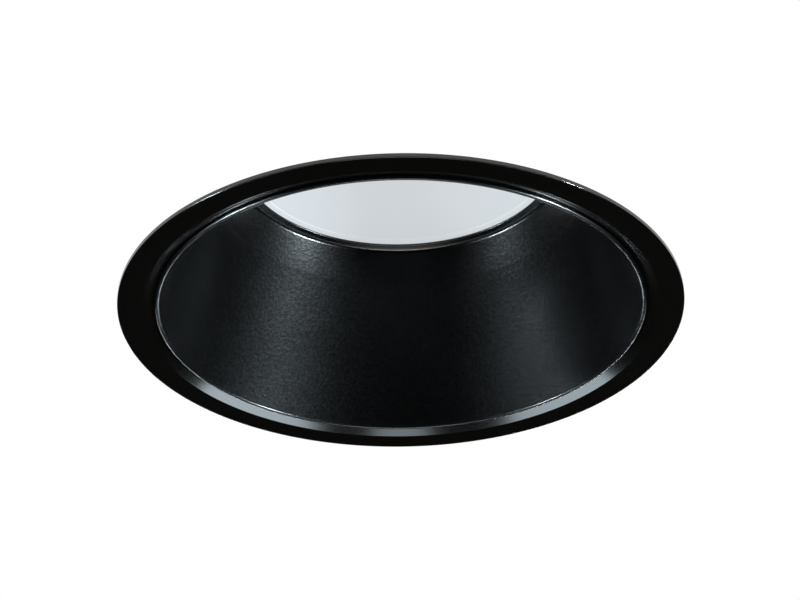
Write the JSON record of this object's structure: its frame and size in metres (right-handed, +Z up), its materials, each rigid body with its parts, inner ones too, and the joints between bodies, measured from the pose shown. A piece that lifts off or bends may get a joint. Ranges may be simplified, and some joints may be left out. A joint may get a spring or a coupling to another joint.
{
  "type": "soffit downlight",
  "caption": "Round recessed soffit downlight: black trim ring and cone reflector, opal diffuser, finned heat sink, driver box and fold-up spring clips.",
  "frame": {"origin": "on the light's axis, at the flange's back face, which lies against the underside of the soffit", "axes": "+Z up into the soffit along the light axis; the light leaves along -Z; the driver box and its cable gland lie along +X"},
  "size_m": [0.2074, 0.2096, 0.133],
  "materials": {
    "black_powder_coat": "matt black powder coat",
    "satin_black_reflector": "satin black coat on spun aluminium",
    "black_sponge": "closed-cell sponge",
    "spring_steel": "oiled spring steel",
    "plated_steel": "bright zinc plate",
    "zinc_sheet": "galvanised sheet",
    "pressed_aluminium": "satin pressed sheet",
    "cast_aluminium": "die-cast, lightly blasted",
    "opal": "opal polycarbonate, matt",
    "silicone": "translucent silicone",
    "thermal_pad": "filled silicone sheet",
    "white_board": "white solder mask",
    "phosphor": "yellow phosphor",
    "white_nylon": "natural nylon",
    "red_insulation": "red PVC",
    "black_insulation": "black PVC",
    "black_rubber": "moulded rubber",
    "black_plastic": "spark-textured polycarbonate",
    "black_nylon": "moulded nylon",
    "green_board": "green solder mask",
    "ferrite": "ground ferrite",
    "enamelled_wire": "enamelled copper wire",
    "blue_sleeve": "shrunk sleeve",
    "black_epoxy": "moulded epoxy"
  },
  "bodies": {
    "housing": {"trim_ring": "black_powder_coat", "soffit_gasket": "black_sponge", "reflector_catches": "spring_steel", "catch_rivets": "plated_steel", "can": "pressed_aluminium", "collar_screws": "plated_steel", "diffuser": "opal", "diffuser_seal": "silicone", "diffuser_ring": "plated_steel", "diffuser_ring_screws": "plated_steel", "chamber_gasket": "black_sponge", "heat_sink": "cast_aluminium", "heat_sink_screws": "plated_steel", "thermal_pad": "thermal_pad", "led_board": "white_board", "led_packages": "phosphor", "led_board_screws": "plated_steel", "led_connector": "white_nylon", "lead_red": "red_insulation", "lead_black": "black_insulation", "lead_grommets": "black_rubber", "driver_bracket": "zinc_sheet", "bracket_screws": "plated_steel", "driver_screws": "plated_steel", "driver_base": "black_plastic", "driver_lid": "black_plastic", "lid_screws": "plated_steel", "cover_hinge_pin": "plated_steel", "driver_board": "green_board", "transformer": "ferrite", "choke": "enamelled_wire", "capacitors": "blue_sleeve", "switching_device": "black_epoxy", "terminal_block": "white_nylon", "terminal_screws": "plated_steel", "gland_body": "black_nylon", "gland_seal": "black_rubber", "gland_nut": "black_nylon", "gland_locknut": "black_nylon", "clip_bracket_1": "zinc_sheet", "clip_bracket_2": "zinc_sheet", "clip_bracket_3": "zinc_sheet", "clip_pin_1": "plated_steel", "clip_pin_2": "plated_steel", "clip_pin_3": "plated_steel", "clip_spring_1": "spring_steel", "clip_spring_2": "spring_steel", "clip_spring_3": "spring_steel", "clip_rivets": "plated_steel"},
    "reflector": {"reflector": "satin_black_reflector"},
    "terminal_cover": {"terminal_cover": "black_plastic", "cover_screws": "plated_steel"},
    "clip_1": {"clip_arm_1": "zinc_sheet", "clip_foot_1": "black_rubber"},
    "clip_2": {"clip_arm_2": "zinc_sheet", "clip_foot_2": "black_rubber"},
    "clip_3": {"clip_arm_3": "zinc_sheet", "clip_foot_3": "black_rubber"}
  },
  "joints": [
    {"name": "reflector_pull", "type": "slide", "parent": "housing", "child": "reflector", "axis": [0, 0, -1], "range_m": [0, 0.062]},
    {"name": "terminal_cover_hinge", "type": "hinge", "parent": "housing", "child": "terminal_cover", "pos_m": [0.025, 0, 0.12935], "axis": [0, -1, 0], "range_deg": [0, 110]},
    {"name": "clip_1_fold", "type": "hinge", "parent": "housing", "child": "clip_1", "pos_m": [0, 0.08043, 0.022], "axis": [1, 0, 0], "range_deg": [0, 118], "stiffness_Nm_per_rad": 0.12, "springref_deg": -34.38, "deforming": ["clip_spring_1"]},
    {"name": "clip_2_fold", "type": "hinge", "parent": "housing", "child": "clip_2", "pos_m": [-0.06965, -0.04022, 0.022], "axis": [-0.5, 0.866, 0], "range_deg": [0, 118], "stiffness_Nm_per_rad": 0.12, "springref_deg": -34.38, "deforming": ["clip_spring_2"]},
    {"name": "clip_3_fold", "type": "hinge", "parent": "housing", "child": "clip_3", "pos_m": [0.06965, -0.04022, 0.022], "axis": [-0.5, -0.866, 0], "range_deg": [0, 118], "stiffness_Nm_per_rad": 0.12, "springref_deg": -34.38, "deforming": ["clip_spring_3"]}
  ]
}
